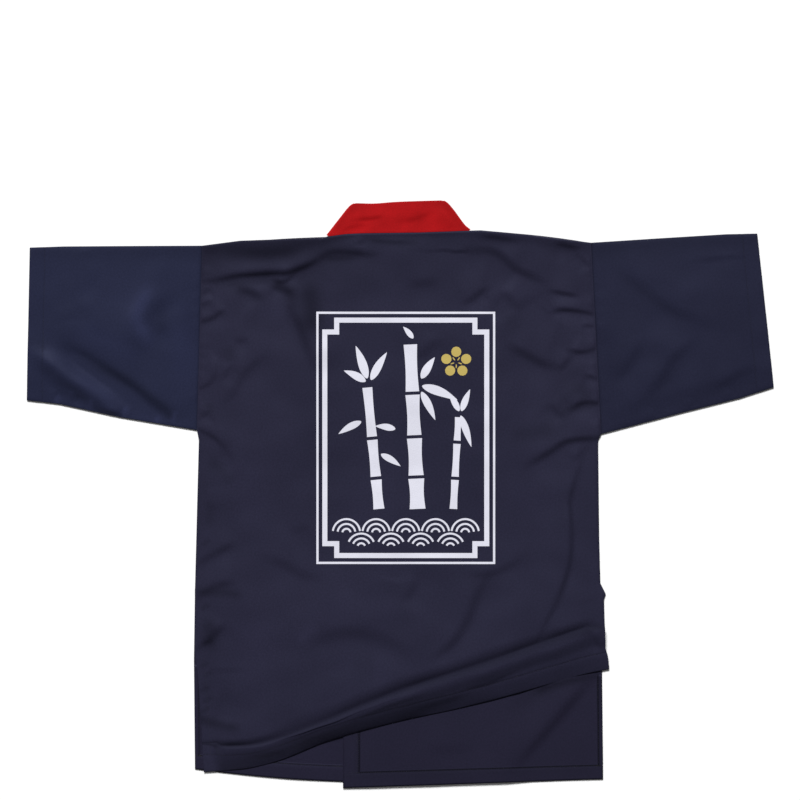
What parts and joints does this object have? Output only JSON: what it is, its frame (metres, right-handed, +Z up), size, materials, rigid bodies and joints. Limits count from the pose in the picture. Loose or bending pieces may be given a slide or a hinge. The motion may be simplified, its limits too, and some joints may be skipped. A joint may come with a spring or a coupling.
{
  "type": "sushi chef coat laid flat",
  "caption": "Short-sleeved kitchen coat with a banded collar and a framed back print, laid flat and face down, its back hem pushed up in a slanting fold.",
  "frame": {"origin": "middle of the coat's outline on the surface that it lies on", "axes": "+X towards the wearer's right, +Y from the hem to the neck, +Z up out of the back panel"},
  "size_m": [1.008, 0.793, 0.0216],
  "materials": {
    "navy_cloth": "fine twill with a soft sheen",
    "red_cloth": "plain cotton"
  },
  "bodies": {
    "root": {"back": "navy_cloth", "front_left": "navy_cloth", "front_right": "navy_cloth", "sleeve_left": "navy_cloth", "sleeve_right": "navy_cloth", "collar": "red_cloth"}
  },
  "joints": []
}
